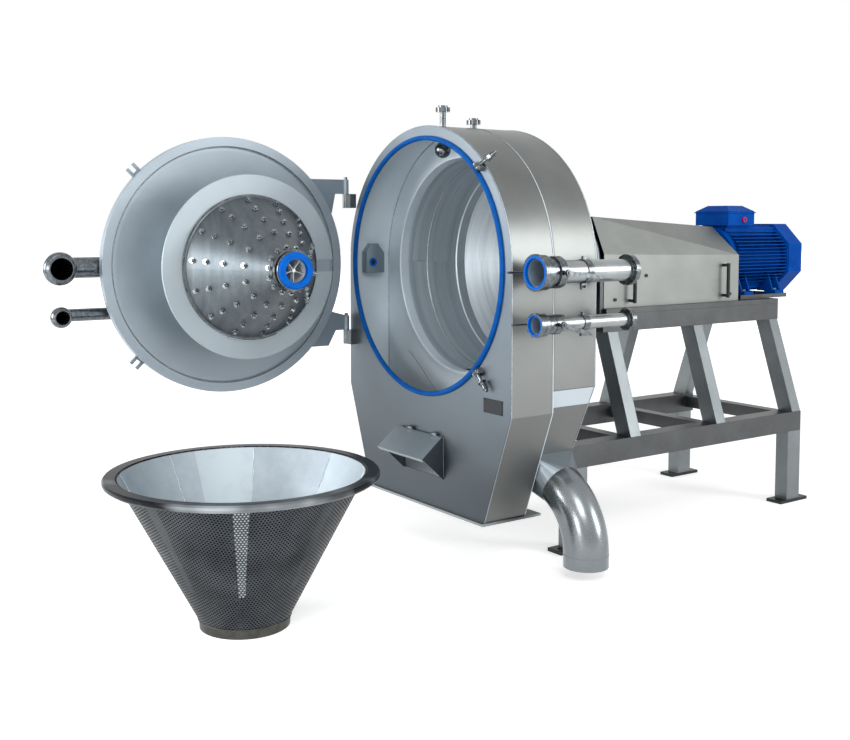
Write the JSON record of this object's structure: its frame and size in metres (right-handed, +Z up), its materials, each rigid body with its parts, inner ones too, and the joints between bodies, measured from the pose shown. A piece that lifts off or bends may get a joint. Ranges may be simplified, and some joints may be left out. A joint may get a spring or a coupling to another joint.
{
  "type": "centrifugal sieve",
  "caption": "Conical centrifugal sieve with hinged wash-cone door, arched housing, box-section frame, direct motor drive and its conical basket lifted out.",
  "frame": {"origin": "on the floor at the centre of the frame's outer four anchor holes", "axes": "+Z up, +Y along the rotor from the door towards the motor, +X towards the feed and wash couplings"},
  "size_m": [1.5472, 3.754, 1.8665],
  "materials": {
    "blasted_steel": "bead-blasted matte stainless sheet",
    "blasted_band": "bead-blasted matte stainless sheet, lighter",
    "brushed_steel": "brushed stainless",
    "turned_steel": "turned bright stainless",
    "frame_steel": "satin stainless box section",
    "guard_steel": "satin stainless sheet",
    "polished_steel": "polished stainless",
    "seal_rubber": "matte moulded",
    "gasket_rubber": "smooth moulded",
    "basket_steel": "dark perforated stainless",
    "sieve_steel": "brushed perforated stainless",
    "motor_paint": "gloss blue paint",
    "black_metal": "satin black",
    "black_plastic": "moulded plastic",
    "plate_metal": "dark anodised plate",
    "iron": "machined iron"
  },
  "bodies": {
    "housing": {"front_plate": "blasted_steel", "front_shell": "blasted_band", "partition": "blasted_steel", "drum_casing": "brushed_steel", "rear_shell": "blasted_steel", "rear_plate": "blasted_steel", "pulp_flange": "brushed_steel", "outlet_transition": "blasted_steel", "outlet_elbow": "brushed_steel", "door_seal": "seal_rubber", "hinge_brackets": "turned_steel", "clamp_ears": "brushed_steel", "chute_body": "blasted_steel", "nameplate": "plate_metal", "top_unions": "polished_steel", "spray_fittings": "polished_steel", "side_pipes": "brushed_steel", "coupling_sockets": "polished_steel", "coupling_gaskets": "gasket_rubber", "pipe_unions": "polished_steel", "pipe_clamps": "polished_steel", "upper_rails": "frame_steel", "inclined_legs": "frame_steel", "lower_frame": "frame_steel", "uprights": "frame_steel", "bed_plate": "frame_steel", "mount_plate": "frame_steel", "bearing_housing": "iron", "shaft_bearings": "turned_steel", "motor_frame": "motor_paint", "terminal_box": "motor_paint", "motor_fittings": "motor_paint", "fan_cowl": "motor_paint"},
    "rotor": {"main_shaft": "turned_steel", "rotor_hub": "turned_steel", "drive_coupling": "iron"},
    "motor_rotor": {"motor_shaft": "turned_steel", "cooling_fan": "black_plastic"},
    "guard": {"guard_cover": "guard_steel", "guard_fittings": "black_metal"},
    "door": {"door_rim": "turned_steel", "door_dish": "blasted_steel", "drum_disc": "blasted_steel", "manifold_cone": "brushed_steel", "spray_nozzles": "polished_steel", "feed_tube": "brushed_steel", "tip_gasket": "gasket_rubber", "door_pipes": "polished_steel", "door_lugs": "brushed_steel"},
    "eyebolt_upper": {"eyebolt_upper": "polished_steel"},
    "eyebolt_lower": {"eyebolt_lower": "polished_steel"},
    "chute_flap": {"chute_flap": "blasted_steel"},
    "feed_lever_right": {"feed_lever_right": "polished_steel"},
    "feed_lever_left": {"feed_lever_left": "polished_steel"},
    "wash_lever_right": {"wash_lever_right": "polished_steel"},
    "wash_lever_left": {"wash_lever_left": "polished_steel"},
    "basket": {"basket_rim": "turned_steel", "basket_cone": "basket_steel", "sieve_liner": "sieve_steel", "basket_foot_ring": "turned_steel"}
  },
  "joints": [
    {"name": "door_swing", "type": "hinge", "parent": "housing", "child": "door", "pos_m": [-0.575, -1.2755, 1.2], "axis": [0, 0, 1], "range_deg": [-25, 92]},
    {"name": "rotor_spin", "type": "hinge", "parent": "housing", "child": "rotor", "pos_m": [0, -0.1505, 1.2], "axis": [0, 1, 0], "continuous": true},
    {"name": "motor_spin", "type": "hinge", "parent": "housing", "child": "motor_rotor", "pos_m": [0, 0.7095, 1.2], "axis": [0, 1, 0], "continuous": true},
    {"name": "guard_lift", "type": "slide", "parent": "housing", "child": "guard", "axis": [0, 0, 1], "range_m": [0, 0.35]},
    {"name": "basket_lift", "type": "slide", "parent": "housing", "child": "basket", "axis": [0, 0, 1], "range_m": [0, 0.25]},
    {"name": "eyebolt_upper_swing", "type": "hinge", "parent": "housing", "child": "eyebolt_upper", "pos_m": [0.39598, -1.2725, 1.59598], "axis": [-0.7071, 0, 0.7071], "range_deg": [-120, 0]},
    {"name": "eyebolt_lower_swing", "type": "hinge", "parent": "housing", "child": "eyebolt_lower", "pos_m": [0.39598, -1.2725, 0.80402], "axis": [0.7071, 0, 0.7071], "range_deg": [-90, 4]},
    {"name": "chute_flap_swing", "type": "hinge", "parent": "housing", "child": "chute_flap", "pos_m": [0, -1.2645, 0.51583], "axis": [-1, 0, 0], "range_deg": [0, 95]},
    {"name": "feed_lever_right_swing", "type": "hinge", "parent": "housing", "child": "feed_lever_right", "pos_m": [0.785, -1.1505, 1.2], "axis": [1, 0, 0], "range_deg": [0, 100]},
    {"name": "feed_lever_left_swing", "type": "hinge", "parent": "housing", "child": "feed_lever_left", "pos_m": [0.63, -1.1505, 1.2], "axis": [-1, 0, 0], "range_deg": [0, 100]},
    {"name": "wash_lever_right_swing", "type": "hinge", "parent": "housing", "child": "wash_lever_right", "pos_m": [0.76, -1.1505, 1.008], "axis": [1, 0, 0], "range_deg": [0, 100]},
    {"name": "wash_lever_left_swing", "type": "hinge", "parent": "housing", "child": "wash_lever_left", "pos_m": [0.65, -1.1505, 1.008], "axis": [-1, 0, 0], "range_deg": [0, 100]}
  ],
  "couplings": [
    {"joint": "motor_spin", "follows": "rotor_spin", "ratio": 1}
  ]
}
